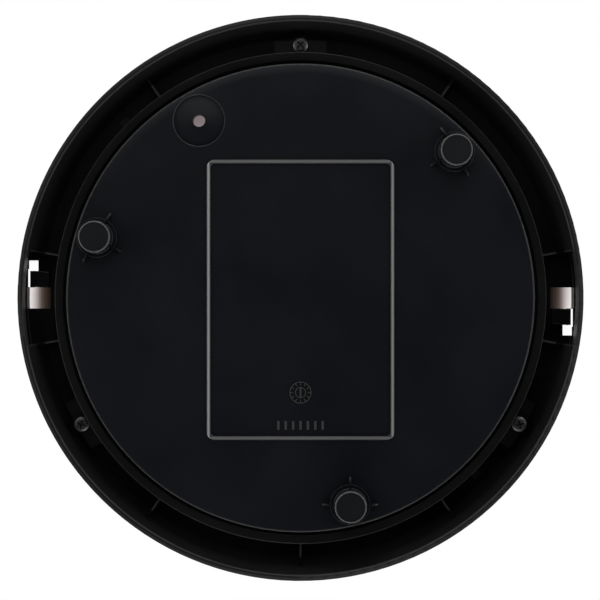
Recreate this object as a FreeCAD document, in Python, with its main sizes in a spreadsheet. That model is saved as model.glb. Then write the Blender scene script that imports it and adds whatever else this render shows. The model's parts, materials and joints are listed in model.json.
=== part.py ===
import FreeCAD, Part
import math
import os
import re
import Sketcher
from FreeCAD import Placement, Rotation, Vector

# A round digital bathroom scale with a twist-lock glass platform.
# Millimetres, +Z up.  z = 0 is the plane of the foot pads and the Z axis is the centre of the disc.
# Angles are in degrees about +Z from +X.  The display is towards +Y.

# ---------------------------------------------------------------- driving dimensions
SIZES = {
    # outer shell
    "rim_radius": 150.0,
    "rim_low": 9.0,
    "rim_roll": 3.4,
    "rim_step": 0.3,
    "rim_bead": 0.45,
    "wall_gap": 0.6,
    "shell_wall": 2.4,
    "shell_corner": 6.5,
    "gutter_roof": 20.0,
    "roof_skin": 2.2,
    "roof_slant": 1.5,
    "gutter_width": 7.8,
    "slope_arc": 24.0,
    "shell_lip": 3.5,
    "upstand_height": 3.7,
    "rib_thick": 1.1,
    "rib_depth": 5.4,
    "rib_gap": 0.6,
    "rib_flat": 6.0,
    "rib_taper": 1.0,
    "rib_inset": 3.6,
    "cheek_drop": 0.5,
    "cheek_start": 3.0,
    "cheek_low": 4.5,
    "cheek_tip": 1.2,
    "cheek_reach": 0.8,
    "bay_half_angle": 10.0,
    "boss_radius": 4.1,
    "boss_drop": 0.8,
    "pilot_gap": 0.05,
    "pocket_start": 8.7,
    "pocket_end": 4.4,
    "pocket_half": 3.5,
    "pocket_skin": 0.8,
    # bayonet windows in the gutter roof, and the bumper that fills two of the holes
    "window_play": 0.7,
    "window_gap": 1.35,
    "slot_inner_gap": 1.0,
    "slot_outer_gap": 0.6,
    "slot_play": 0.9,
    "strip_gap": 0.3,
    "strip_width": 1.0,
    "plug_in": 4.4,
    "plug_width": 4.9,
    "plug_gap": 0.2,
    "plug_length": 5.6,
    "bumper_flange": 0.8,
    "bumper_lap": 0.5,
    # bottom cover
    "disc_radius": 123.75,
    "disc_round": 1.0,
    "cover_face": 9.0,
    "cover_skin": 2.2,
    "groove_width": 1.55,
    "groove_depth": 3.4,
    "collar_width": 4.7,
    "collar_face": 10.0,
    "collar_tilt": 0.4,
    "collar_round": 0.6,
    "collar_wall": 2.0,
    "lug_drop": 5.0,
    "lug_thick": 2.5,
    "lug_half": 13.8,
    "lug_reach": 7.2,
    "tab_half": 2.7,
    "tab_reach": 4.0,
    # label frame, moulding dial and plain bars
    "label_width": 99.0,
    "label_height": 147.8,
    "label_shift": 1.0,
    "label_corner": 4.4,
    "bead_width": 2.0,
    "bead_height": 0.6,
    "bead_round": 0.45,
    "dial_down": 49.9,
    "dial_radius": 5.8,
    "dial_line": 0.45,
    "dial_height": 0.2,
    "tick_length": 1.7,
    "tick_inset": 0.3,
    "bars_down": 67.2,
    "bar_pitch": 3.9,
    "bar_width": 1.3,
    "bar_height": 4.6,
    # dished recess and the button in it
    "dish_inset": 15.95,
    "dish_angle": 60.2,
    "dish_radius": 13.5,
    "dish_depth": 1.0,
    "dish_round": 0.35,
    "dish_rise": 0.15,
    "dish_land": 0.6,
    "button_radius": 3.22,
    "button_gap": 0.08,
    "button_face": 12.9,
    "button_edge": 0.4,
    "button_flange": 1.3,
    "flange_thick": 0.8,
    "flange_gap": 0.1,
    "button_tip": 1.6,
    "press_gap": 0.9,
    "guide_wall": 1.7,
    "guide_top": 14.2,
    # feet
    "foot_angle": 16.5,
    "foot_margin": 1.0,
    "pad_lap": 1.41,
    "pad_height": 2.6,
    "pad_round": 0.6,
    "ring_inset": 1.43,
    "ring_width": 0.4,
    "ring_depth": 0.2,
    "stem_radius": 6.92,
    "stem_gap": 0.08,
    "stem_flange_gap": 0.15,
    "stem_flange_thick": 0.95,
    "stem_flange_inset": 0.6,
    "foot_gap": 0.6,
    "post_wall": 1.3,
    "post_edge": 0.3,
    "post_fillet": 0.6,
    "post_ring_width": 2.3,
    "post_ring_drop": 0.6,
    "post_inner_top": 14.0,
    "post_inner_wall": 2.0,
    "gusset_thick": 0.95,
    "gusset_tip": 0.3,
    "gusset_reach": 6.3,
    "gusset_outer_reach": 2.9,
    "gusset_low": 4.4,
    "gusset_foot": 0.3,
    "gusset_turn": 13.5,
    # load cells
    "cell_side": 28.0,
    "cell_gap": 1.22,
    "cell_thick": 1.6,
    "seat_top": 14.8,
    "seat_inset": 1.2,
    "frame_height": 2.4,
    "frame_gap": 1.2,
    "tongue_side": 12.0,
    "tongue_slot": 1.6,
    "gauge_width": 6.0,
    "gauge_length": 4.0,
    "gauge_lap": 1.0,
    "gauge_thick": 0.2,
    # screws
    "screw_out": 4.3,
    "screw_angle": 90.0,
    "screw_head": 3.9,
    "screw_head_height": 2.2,
    "screw_shank": 1.5,
    "screw_length": 9.0,
    "screw_hole_gap": 0.25,
    "screw_crown": 0.6,
    "screw_bow": 0.75,
    "screw_edge": 0.35,
    "cross_width": 0.9,
    "cross_length": 4.6,
    "cross_depth": 1.2,
    "small_screw": 1.1,
    "small_screw_gap": 0.2,
    # twist-lock hooks
    "hook_angle": 4.1,
    "hook_in": 12.0,
    "hook_length": 10.2,
    "hook_half": 4.3,
    "hook_corner": 1.0,
    "hook_edge": 0.5,
    "hook_thick": 2.3,
    "hook_gap": 0.3,
    "stem_inset": 3.0,
    "stem_length": 4.8,
    "stem_half": 2.4,
    "hook_flange_thick": 1.8,
    "hook_flange_inset": 1.0,
    "hook_flange_reach": 14.0,
    "hook_screw_out": 8.0,
    "hook_screw_head": 2.2,
    "hook_screw_head_height": 1.0,
    "hook_screw_length": 3.6,
    # platform
    "platform_gap": 0.3,
    "carrier_thick": 2.4,
    "carrier_edge": 0.5,
    "carrier_gap": 0.8,
    "window_margin": 7.0,
    "tape_width": 28.8,
    "tape_inset": 2.0,
    "tape_thick": 0.4,
    "film_inset": 1.0,
    "film_thick": 0.2,
    "glass_thick": 6.0,
    "glass_inset": 0.6,
    "glass_chamfer": 0.8,
    # circuit board and what is soldered on it
    "board_left": 11.0,
    "board_right": 25.0,
    "board_front": 6.0,
    "board_back": 4.0,
    "board_gap": 1.5,
    "board_thick": 1.6,
    "board_hole_in": 4.0,
    "standoff_height": 7.4,
    "standoff_radius": 2.6,
    "board_screw_head": 2.2,
    "board_screw_height": 1.2,
    "board_screw_length": 5.0,
    "switch_side": 6.0,
    "switch_height": 1.8,
    "plunger_radius": 1.4,
    "plunger_height": 0.3,
    "capacitor_radius": 1.6,
    "capacitor_height": 4.0,
    "capacitor_pitch": 5.0,
    "capacitor_out": 20.0,
    "capacitor_start": 12.0,
    "socket_width": 8.0,
    "socket_depth": 4.0,
    "socket_height": 3.0,
    "socket_inset": 1.0,
    # display
    "display_inset": 35.75,
    "display_gap": 0.9,
    "view_width": 62.0,
    "view_height": 26.0,
    "panel_border": 3.0,
    "panel_thick": 2.2,
    "panel_gap": 0.1,
    "light_gap": 0.2,
    "light_inset": 1.0,
    "light_front": 4.0,
    "strip_inset": 3.0,
    "strip_depth": 2.0,
    "bezel_wall": 3.0,
    "bezel_lap": 2.5,
    "bezel_lip": 0.7,
    # battery holder
    "holder_out": 15.0,
    "holder_wall": 1.6,
    "holder_floor": 1.2,
    "battery_radius": 5.2,
    "battery_length": 44.5,
    "battery_space": 0.9,
    "battery_play": 0.1,
    "nub_radius": 1.9,
    "nub_height": 1.0,
    "side_play": 0.4,
    "contact_room": 2.8,
    "contact_thick": 0.4,
    "contact_half": 4.0,
    "spring_half": 1.5,
    # cables
    "cable_radius": 0.8,
    "cable_lift": 0.4,
    "cable_start": 18.0,
    # how far joined pieces run into each other, and how far a cutting tool runs past its piece
    "weld": 0.2,
    "past": 1.0,
}
# angles of what repeats round the disc, and how many there are of what repeats in a row
RIB_ANGLES = (10, 55, 125, 170, 190, 235, 270, 305, 350)
CHEEK_ANGLES = (10, 170, 190, 350)
FEET = (0, 120, 240)
SCREWS = (0, 120, 240)
SIDES = {"right": 0, "left": 180}
TABS = (45, 225)
DIAL_TICKS = 12
BAR_COUNT = 7
BATTERY_COUNT = 3
# where the cable sockets stand along the board
SOCKETS = (-30, -12, 6, 24)
# each chip's span to the right of the bezel, its span from the display's middle line, and its height
CHIPS = {
    "processor_chip": ((7, 15), (-10, -2), 1.5),
    "converter_chip": ((8, 14), (1, 6), 1.3),
    "crystal": ((7, 15), (-15.5, -12.5), 2.4),
}
# the share of a cable's runs that the bend between them takes
CABLE_BEND = 0.45

doc = FreeCAD.newDocument("Scale")
sheet = doc.addObject("Spreadsheet::Sheet", "Sizes")
for row, (alias, number) in enumerate(SIZES.items(), start=1):
    sheet.set(f"A{row}", str(number))
    sheet.setAlias(f"A{row}", alias)
doc.recompute()

SUBPARTS = []
WORD = re.compile(r"[a-z][a-z_]*")


# ---------------------------------------------------------------- helpers
def bound(formula):
    """The formula with each driving dimension pointing at its cell in the sheet."""
    return WORD.sub(lambda word: f"Sizes.{word[0]}" if word[0] in SIZES else word[0], formula)


def value(formula):
    """The formula's present value, for a sketch's starting geometry."""
    return float(sheet.evalExpression(bound(formula)))


def tie(item, **formulas):
    """Bind properties of an object to formulas over the sheet."""
    for name, formula in formulas.items():
        item.setExpression(name, bound(formula))
    return item


def place(item, x="0", y="0", z="0", turn=None):
    """Put an object at a place, turned about the vertical, by formulas."""
    if turn is not None:
        item.Placement = Placement(Vector(), Rotation(Vector(0, 0, 1), 1))
        item.setExpression("Placement.Rotation.Angle", bound(turn))
    for axis, formula in (("x", x), ("y", y), ("z", z)):
        if formula != "0":
            item.setExpression(f"Placement.Base.{axis}", bound(formula))
    return item


def keep(item, label):
    """Name a finished sub-part and put it on the list to write."""
    item.Label = label
    SUBPARTS.append(item)
    return item


def box(name, x, y, z, turn=None):
    """A box between two formulas along each axis, turned about the Z axis of the scale."""
    solid = doc.addObject("Part::Box", name)
    spans = {"Length": x, "Width": y, "Height": z}
    for side, (low, high) in spans.items():
        tie(solid, **{side: f"({high}) - ({low})"})
    if turn is None:
        return place(solid, x[0], y[0], z[0])
    place(solid, z=z[0], turn=turn)
    tie(solid, **{
        "Placement.Base.x": f"cos({turn}) * ({x[0]}) - sin({turn}) * ({y[0]})",
        "Placement.Base.y": f"sin({turn}) * ({x[0]}) + cos({turn}) * ({y[0]})",
    })
    return solid


def cylinder(name, radius, z, x="0", y="0"):
    """An upright cylinder between two heights."""
    solid = doc.addObject("Part::Cylinder", name)
    tie(solid, Radius=radius, Height=f"({z[1]}) - ({z[0]})")
    return place(solid, x, y, z[0])


def fuse(name, items):
    joined = doc.addObject("Part::MultiFuse", name)
    joined.Shapes = items
    joined.Refine = True
    return joined


def cut(name, base, tools):
    """The base less every tool."""
    tool = tools[0]
    if len(tools) > 1:
        tool = doc.addObject("Part::MultiFuse", name + "_tools")
        tool.Shapes = tools
    result = doc.addObject("Part::Cut", name)
    result.Base = base
    result.Tool = tool
    result.Refine = True
    return result


def group(name, items):
    """Identical separate solids in one node."""
    several = doc.addObject("Part::Compound", name)
    several.Links = items
    return several


def edge_between(start, end, bow):
    """A straight edge, or an arc that bows to the right of travel (to the left if bow is negative)."""
    if not bow:
        return Part.LineSegment(start, end), (1, 2)
    chord = end - start
    right = Vector(chord.y, -chord.x, 0).normalize() * math.copysign(1, bow)
    rise = math.sqrt(bow * bow - (chord.Length / 2) ** 2)
    centre = (start + end) * 0.5 - right * rise
    angles = [math.atan2(point.y - centre.y, point.x - centre.x) for point in (start, end)]
    if bow < 0:
        angles.reverse()
    if angles[1] < angles[0]:
        angles[1] += 2 * math.pi
    circle = Part.Circle(centre, Vector(0, 0, 1), abs(bow))
    return Part.ArcOfCircle(circle, *angles), (1, 2) if bow > 0 else (2, 1)


def outline(sketch, corners):
    """A closed outline: corners are (x, y) or (x, y, bow), where bow makes the next edge an arc."""
    points = [Vector(value(corner[0]), value(corner[1]), 0) for corner in corners]
    edges = []
    for index, corner in enumerate(corners):
        bow = value(corner[2]) if len(corner) > 2 else 0
        edge, ends = edge_between(points[index], points[(index + 1) % len(points)], bow)
        edges.append((sketch.addGeometry(edge, False), ends))
    for index, corner in enumerate(corners):
        geometry, (start, _) = edges[index]
        before, (_, end) = edges[index - 1]
        sketch.addConstraint(Sketcher.Constraint("Coincident", before, end, geometry, start))
        for kind, axis, formula in (("DistanceX", -2, corner[0]), ("DistanceY", -1, corner[1])):
            if formula == "0":
                sketch.addConstraint(Sketcher.Constraint("PointOnObject", geometry, start, axis))
                continue
            number = sketch.addConstraint(
                Sketcher.Constraint(kind, -1, 1, geometry, start, value(formula))
            )
            sketch.setExpression(f"Constraints[{number}]", bound(formula))
        if len(corner) > 2:
            number = sketch.addConstraint(
                Sketcher.Constraint("Radius", geometry, abs(value(corner[2])))
            )
            sketch.setExpression(f"Constraints[{number}]", bound(f"abs({corner[2]})"))


def sketch_on(body, role, outlines, height="0"):
    """A sketch on one of the body's own origin planes, lifted by a formula."""
    sketch = body.newObject("Sketcher::SketchObject", body.Name + "_sketch")
    plane = next(item for item in body.Origin.OriginFeatures if item.Role == role)
    sketch.AttachmentSupport = [(plane, "")]
    sketch.MapMode = "FlatFace"
    if height != "0":
        sketch.setExpression("AttachmentOffset.Base.z", bound(height))
    for corners in outlines:
        outline(sketch, corners)
    return sketch


def turned_solid(name, corners):
    """A body turned about its own Z axis: corners are (radius, height)."""
    body = doc.addObject("PartDesign::Body", name)
    sketch = sketch_on(body, "XZ_Plane", [corners])
    turn = body.newObject("PartDesign::Revolution", name + "_turn")
    turn.Profile = sketch
    turn.ReferenceAxis = (sketch, ["V_Axis"])
    turn.Angle = 360
    sketch.Visibility = False
    return body


def plate(name, outlines, z):
    """A flat body between two heights, padded from its outlines."""
    body = doc.addObject("PartDesign::Body", name)
    pad = body.newObject("PartDesign::Pad", name + "_pad")
    pad.Profile = sketch_on(body, "XY_Plane", outlines, z[0])
    tie(pad, Length=f"({z[1]}) - ({z[0]})")
    return body


def web(name, corners, thickness):
    """An upright web through its own Z axis: corners are (radius, height), padded to both sides."""
    body = doc.addObject("PartDesign::Body", name)
    pad = body.newObject("PartDesign::Pad", name + "_pad")
    pad.Profile = sketch_on(body, "XZ_Plane", [corners])
    pad.SideType = "Symmetric"
    tie(pad, Length=thickness)
    return body


def rectangle(x, y):
    return [(x[0], y[0]), (x[1], y[0]), (x[1], y[1]), (x[0], y[1])]


def rounded_rectangle(width, height, corner, shift):
    """Corners of a rounded rectangle centred on the Y axis, a formula below the origin."""
    across = f"({width}) / 2"
    up = f"({height}) / 2"
    inner_x = f"{across} - ({corner})"
    low, high = f"-({up}) - {shift}", f"{up} - {shift}"
    low_in, high_in = f"{low} + ({corner})", f"{high} - ({corner})"
    return [
        (f"-({inner_x})", low), (inner_x, low, corner),
        (across, low_in), (across, high_in, corner),
        (inner_x, high), (f"-({inner_x})", high, corner),
        (f"-({across})", high_in), (f"-({across})", low_in, corner),
    ]


def round_low_edges(body, radius):
    """Round every edge at the bottom of a body."""
    doc.recompute()
    base = body.Tip
    floor = base.Shape.BoundBox.ZMin
    names = [
        f"Edge{number}"
        for number, edge in enumerate(base.Shape.Edges, start=1)
        if edge.BoundBox.ZMax < floor + 1e-6
    ]
    rounding = body.newObject("PartDesign::Fillet", body.Name + "_round")
    rounding.Base = (base, names)
    tie(rounding, Radius=radius)
    return body


def polar(radius, angle):
    """Formulas for the x and y of a point on a circle."""
    return f"({radius}) * cos({angle})", f"({radius}) * sin({angle})"


def about(middle, half):
    """Formulas for the two ends of a span, from its middle and half its length."""
    return f"({middle}) - ({half})", f"({middle}) + ({half})"


# ---------------------------------------------------------------- derived places
COLLAR_INNER = "(disc_radius + groove_width)"
COLLAR_OUTER = f"({COLLAR_INNER} + collar_width)"
SHELL_INNER = f"({COLLAR_OUTER} - shell_lip)"
RIM_LINE = "(rim_radius - rim_roll)"
SLOPE_TOP = f"({RIM_LINE} - rim_step - gutter_width)"
WALL_INNER = "(rim_radius - shell_wall)"

ROOF_TOP = "(gutter_roof + roof_skin)"
UPSTAND_TOP = f"({ROOF_TOP} + upstand_height)"
CARRIER_LOW = f"({UPSTAND_TOP} + platform_gap)"
CARRIER_TOP = f"({CARRIER_LOW} + carrier_thick)"
TAPE_TOP = f"({CARRIER_TOP} + tape_thick)"
FILM_TOP = f"({TAPE_TOP} + film_thick)"
GLASS_TOP = f"({FILM_TOP} + glass_thick)"
CARRIER_RADIUS = f"({WALL_INNER} - carrier_gap)"

COVER_TOP = "(cover_face + cover_skin)"
RAISED = ("cover_face - dial_height", "cover_face + weld")
LUG_LOW = "(gutter_roof - lug_drop)"
LUG_TOP = f"({LUG_LOW} + lug_thick)"
SCREW_CIRCLE = f"({COLLAR_OUTER} + screw_out)"
DISH = polar("disc_radius - dish_inset", "dish_angle")

BORE = "(stem_radius + stem_gap)"
POST_RADIUS = f"({BORE} + post_wall)"
POST_RING = f"({POST_RADIUS} + post_ring_width)"
POST_INNER = f"({BORE} + post_inner_wall)"
FRAME_BORE = f"({POST_INNER} + frame_gap)"
PAD_RADIUS = "(stem_radius + pad_lap)"
CELL_LOW = "(seat_top + frame_height)"
CELL_REACH = f"sqrt(({COLLAR_OUTER} - collar_wall - cell_gap) ^ 2 - (cell_side / 2) ^ 2)"
FOOT_CIRCLE = f"min({CELL_REACH} - cell_side / 2; disc_radius - foot_margin - {POST_RING})"

HOOK_INNER = f"({RIM_LINE} - hook_in)"
HOOK_OUTER = f"({HOOK_INNER} + hook_length)"
HOOK_MIDDLE = f"({HOOK_INNER} + hook_length / 2)"
HOOK_SHIFT = f"({HOOK_MIDDLE} * sin(hook_angle))"
STEM_SPAN = (f"({HOOK_INNER} + stem_inset)", f"({HOOK_INNER} + stem_inset + stem_length)")
WINDOW_HALF = "(hook_half + window_gap)"
STRIP_INNER = f"({HOOK_OUTER} + strip_gap)"
STRIP_SPAN = (STRIP_INNER, f"({STRIP_INNER} + strip_width)")
PLUG_SPAN = (f"({STRIP_INNER} - plug_in)", f"({STRIP_INNER} - plug_in + plug_width)")
PLUG_START = f"({HOOK_SHIFT} + hook_half + plug_gap)"
PLUG_END = f"({PLUG_START} + plug_length)"

PANEL_HALF = ("(view_width / 2 + panel_border)", "(view_height / 2 + panel_border)")
BEZEL_HALF = f"({PANEL_HALF[0]} + bezel_wall)"
BOARD_X = (f"(-{BEZEL_HALF} - board_left)", f"({BEZEL_HALF} + board_right)")
# the board's far corner stays clear of the shell
BOARD_REACH = f"sqrt(({SHELL_INNER} - board_gap) ^ 2 - {BOARD_X[1]} ^ 2)"
DISPLAY_OUT = f"min(disc_radius - display_inset; {BOARD_REACH} - board_back - {PANEL_HALF[1]})"
PANEL_TOP = f"({CARRIER_LOW} - display_gap - bezel_lip)"
PANEL_LOW = f"({PANEL_TOP} - panel_thick)"
PANEL_Y = (f"({DISPLAY_OUT} - {PANEL_HALF[1]})", f"({DISPLAY_OUT} + {PANEL_HALF[1]})")
BOARD_Y = (f"({PANEL_Y[0]} - board_front)", f"({PANEL_Y[1]} + board_back)")
BOARD_LOW = f"({COVER_TOP} + standoff_height)"
BOARD_TOP = f"({BOARD_LOW} + board_thick)"
BOARD_HOLES = [
    (x, y)
    for x in (f"{BOARD_X[0]} + board_hole_in", f"{BOARD_X[1]} - board_hole_in")
    for y in (f"{BOARD_Y[0]} + board_hole_in", f"{BOARD_Y[1]} - board_hole_in")
]
SWITCH_LOW = f"({BOARD_LOW} - switch_height)"


# ---------------------------------------------------------------- outer shell
def outer_shell():
    """Rolled rim, side wall and the gutter with its ribs, bays, bosses and bayonet windows."""
    bead_top = "rim_low + rim_step"
    ring = turned_solid("shell_ring", [
        (SHELL_INNER, "gutter_roof"),
        (SLOPE_TOP, "gutter_roof", "-slope_arc"),
        (f"{RIM_LINE} - rim_step", bead_top, "rim_bead"),
        (RIM_LINE, "rim_low", "rim_roll"),
        ("rim_radius", "rim_low + rim_roll"),
        ("rim_radius", f"{TAPE_TOP} - wall_gap"),
        (WALL_INNER, f"{TAPE_TOP} - wall_gap"),
        (WALL_INNER, "rim_low + shell_corner"),
        (f"{RIM_LINE} - gutter_width + roof_slant", ROOF_TOP),
        (f"{SHELL_INNER} + roof_skin", ROOF_TOP),
        (f"{SHELL_INNER} + roof_skin", UPSTAND_TOP),
        (SHELL_INNER, UPSTAND_TOP),
    ])
    ribs = [place(gutter_rib(angle), turn=str(angle)) for angle in RIB_ANGLES]
    cheeks = [place(bay_cheek(angle), turn=str(angle)) for angle in CHEEK_ANGLES]
    bosses, cuts = [], []
    for step in SCREWS:
        turn = f"(screw_angle + {step})"
        x, y = polar(SCREW_CIRCLE, turn)
        bosses.append(cylinder(f"boss_{step}", "boss_radius", (LUG_TOP, f"{UPSTAND_TOP} - boss_drop"), x, y))
        cuts.append(cylinder(f"pilot_{step}", "screw_shank + pilot_gap",
                             (f"{LUG_TOP} - past", UPSTAND_TOP), x, y))
        cuts.append(box(f"screw_pocket_{step}", (f"{RIM_LINE} - pocket_start", f"{RIM_LINE} - pocket_end"),
                        ("-pocket_half", "pocket_half"), ("rim_low", "gutter_roof - pocket_skin"), turn))
    bay_cuts, bay_floors = [], []
    for side, angle in SIDES.items():
        bay_cuts.append(bay_wedge(f"bay_{side}", SLOPE_TOP, f"{RIM_LINE} + weld",
                                  ("rim_low - past", "gutter_roof"), angle))
        bay_floors.append(bay_wedge(f"bay_floor_{side}", f"{SLOPE_TOP} - past", f"{WALL_INNER} + weld",
                                    ("gutter_roof", ROOF_TOP), angle))
        cuts += window_tools(side, angle)
    hollowed = cut("shell_with_bays", ring, bay_cuts)
    solid = fuse("shell_solid", [hollowed] + bay_floors + cheeks + ribs + bosses)
    keep(cut("outer_shell", solid, cuts), "outer_shell")


def gutter_rib(angle):
    """A radial web across the gutter, hanging from its roof."""
    start, end = f"{COLLAR_OUTER} + rib_gap", f"{RIM_LINE} - rib_inset"
    low = "gutter_roof - rib_depth"
    return web(f"rib_{angle}", [
        (start, low),
        (f"{COLLAR_OUTER} + rib_flat", low),
        (end, f"{low} + rib_taper"),
        (end, "gutter_roof + weld"),
        (start, "gutter_roof + weld"),
    ], "rib_thick")


def bay_cheek(angle):
    """The web that closes the end of a finger bay."""
    return web(f"cheek_{angle}", [
        (f"{RIM_LINE} - gutter_width", "gutter_roof - cheek_drop"),
        (f"{RIM_LINE} - cheek_start", "rim_low + cheek_low"),
        (f"{RIM_LINE} + cheek_reach", "rim_low + cheek_tip"),
        (f"{RIM_LINE} + cheek_reach", ROOF_TOP),
        (f"{RIM_LINE} - gutter_width", ROOF_TOP),
    ], "rib_thick")


def bay_wedge(name, inner, outer, z, middle):
    """A wedge of a ring between the two ribs beside a window."""
    ends = [polar(radius, f"({middle} + {sign} * bay_half_angle)")
            for radius, sign in ((inner, -1), (outer, -1), (outer, 1), (inner, 1))]
    arcs = [(), (outer,), (), (f"-({inner})",)]
    return plate(name, [[end + arc for end, arc in zip(ends, arcs)]], z)


def window_tools(side, angle):
    """The cuts through the gutter roof on one side: window, hook slot, strip and plug holes."""
    z = ("gutter_roof - past", f"{ROOF_TOP} + past")
    turn = str(angle)
    inside = f"{WINDOW_HALF} - past"
    slot = (f"{STEM_SPAN[0]} - slot_inner_gap", f"{STEM_SPAN[1]} + slot_outer_gap")
    return [
        box(f"window_{side}", (f"{HOOK_INNER} - window_play", f"{RIM_LINE} + weld"),
            (f"-{WINDOW_HALF}", WINDOW_HALF), z, turn),
        box(f"slot_{side}", slot, (inside, f"{HOOK_SHIFT} + stem_half + slot_play"), z, turn),
        box(f"strip_hole_{side}", STRIP_SPAN, (inside, f"{PLUG_START} + past"), z, turn),
        box(f"plug_hole_{side}", PLUG_SPAN, (PLUG_START, PLUG_END), z, turn),
    ]


def slot_bumper(side, angle):
    """White silicone piece that fills the strip and plug holes and laps over the roof."""
    z = ("gutter_roof", ROOF_TOP)
    lap = (ROOF_TOP, f"{ROOF_TOP} + bumper_flange")
    turn = str(angle)
    start = f"{WINDOW_HALF} + weld"
    keep(fuse(f"slot_bumper_{side}", [
        box(f"bumper_strip_{side}", STRIP_SPAN, (start, f"{PLUG_START} + past"), z, turn),
        box(f"bumper_plug_{side}", PLUG_SPAN, (PLUG_START, PLUG_END), z, turn),
        box(f"bumper_lap_{side}", (f"{PLUG_SPAN[0]} - bumper_lap", STRIP_SPAN[1]),
            (f"{PLUG_START} - bumper_lap", f"{PLUG_END} + bumper_lap"), lap, turn),
        box(f"bumper_run_{side}", (f"{STRIP_INNER} - bumper_lap", STRIP_SPAN[1]),
            (start, f"{PLUG_END} + bumper_lap"), lap, turn),
    ]), f"slot_bumper_{side}")


# ---------------------------------------------------------------- bottom cover
def bottom_cover():
    """The disc inside its collar, with lugs, foot posts, label frame, dial, bars and dished recess."""
    groove_top = "cover_face + groove_depth"
    inner_face = "collar_face + collar_tilt"
    disc = turned_solid("cover_disc", [
        ("0", "cover_face"),
        ("disc_radius - disc_round", "cover_face", "disc_round"),
        ("disc_radius", "cover_face + disc_round"),
        ("disc_radius", groove_top),
        (COLLAR_INNER, groove_top),
        (COLLAR_INNER, f"{inner_face} + collar_round", "collar_round"),
        (f"{COLLAR_INNER} + collar_round", inner_face),
        (f"{COLLAR_OUTER} - collar_round", "collar_face", "collar_round"),
        (COLLAR_OUTER, "collar_face + collar_round"),
        (COLLAR_OUTER, "gutter_roof"),
        (f"{COLLAR_OUTER} - collar_wall", "gutter_roof"),
        (f"{COLLAR_OUTER} - collar_wall", f"{groove_top} + cover_skin"),
        ("disc_radius - cover_skin", f"{groove_top} + cover_skin"),
        ("disc_radius - cover_skin", COVER_TOP),
        ("0", COVER_TOP),
    ])
    guide = cylinder("guide", "button_radius + button_gap + guide_wall",
                     ("cover_face + weld", "guide_top"), *DISH)
    added = [disc, guide] + label_frame() + moulding_dial() + plain_bars() + lugs() + posts() + standoffs()
    below = "cover_face - past"
    dish = turned_solid("dish", [
        ("button_radius + dish_land", below),
        ("dish_radius + dish_round", below),
        ("dish_radius + dish_round", "cover_face"),
        ("dish_radius", "cover_face + dish_round"),
        ("dish_radius", "cover_face + dish_depth"),
        ("button_radius + dish_land", "cover_face + dish_rise"),
    ])
    tools = [
        place(dish, *DISH),
        cylinder("button_bore", "button_radius + button_gap", (below, "guide_top + past"), *DISH),
    ]
    for step in FEET:
        x, y = polar(FOOT_CIRCLE, f"(foot_angle + {step})")
        tools.append(cylinder(f"post_bore_{step}", BORE, ("0", "post_inner_top + past"), x, y))
    for step in SCREWS:
        x, y = polar(SCREW_CIRCLE, f"(screw_angle + {step})")
        tools.append(cylinder(f"lug_hole_{step}", "screw_shank + screw_hole_gap",
                              (f"{LUG_LOW} - past", f"{LUG_TOP} + past"), x, y))
    for number, (x, y) in enumerate(BOARD_HOLES):
        tools.append(cylinder(f"standoff_pilot_{number}", "small_screw",
                              (COVER_TOP, f"{BOARD_LOW} + past"), x, y))
    keep(cut("bottom_cover", fuse("cover_solid", added), tools), "bottom_cover")


def label_frame():
    """A rounded bead around the place of the label."""
    bead = plate("label_bead", [
        rounded_rectangle("label_width", "label_height", "label_corner", "label_shift"),
        rounded_rectangle("(label_width - 2 * bead_width)", "(label_height - 2 * bead_width)",
                          "(label_corner - bead_width)", "label_shift"),
    ], ("cover_face - bead_height", "cover_face + weld"))
    return [round_low_edges(bead, "bead_round")]


def moulding_dial():
    """A raised ring with plain ticks and a pointer, and no lettering."""
    pieces = []
    for name, outer in (("dial_rim", "dial_radius"), ("dial_inner", "dial_radius / 2")):
        whole = cylinder(name + "_outer", outer, RAISED)
        hollow = cylinder(name + "_hollow", f"{outer} - dial_line", about("cover_face", "past"))
        pieces.append(place(cut(name, whole, [hollow]), "0", "-dial_down"))
    tick_end = "dial_radius - tick_inset"
    for number in range(DIAL_TICKS):
        angle = f"({number} * 360 / {DIAL_TICKS})"
        tick = box(f"dial_tick_{number}", (f"{tick_end} - tick_length", tick_end),
                   about("0", "dial_line / 2"), RAISED, angle)
        middle = f"sin{angle} * ({tick_end} - tick_length) - cos{angle} * dial_line / 2"
        pieces.append(tie(tick, **{"Placement.Base.y": f"{middle} - dial_down"}))
    pointer = box("dial_pointer", about("0", "dial_line"), about("-dial_down", "dial_radius / 2"), RAISED)
    return pieces + [pointer]


def plain_bars():
    """A row of plain raised bars."""
    return [
        box(f"bar_{number}", about(f"{number - BAR_COUNT // 2} * bar_pitch", "bar_width / 2"),
            about("-bars_down", "bar_height / 2"), RAISED)
        for number in range(BAR_COUNT)
    ]


def lugs():
    """Three screw lugs and two small tabs on the collar's outer wall."""
    root = f"{COLLAR_OUTER} - collar_wall / 2"
    radius = f"({COLLAR_OUTER} + lug_reach)"
    corner = f"sqrt({radius} ^ 2 - lug_half ^ 2)"
    z = (LUG_LOW, LUG_TOP)
    pieces = [
        place(plate(f"lug_{step}", [[
            (root, "-lug_half"), (corner, "-lug_half", radius), (corner, "lug_half"), (root, "lug_half"),
        ]], z), turn=f"screw_angle + {step}")
        for step in SCREWS
    ]
    pieces += [
        box(f"tab_{angle}", (root, f"{COLLAR_OUTER} + tab_reach"), ("-tab_half", "tab_half"), z, str(angle))
        for angle in TABS
    ]
    return pieces


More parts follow.
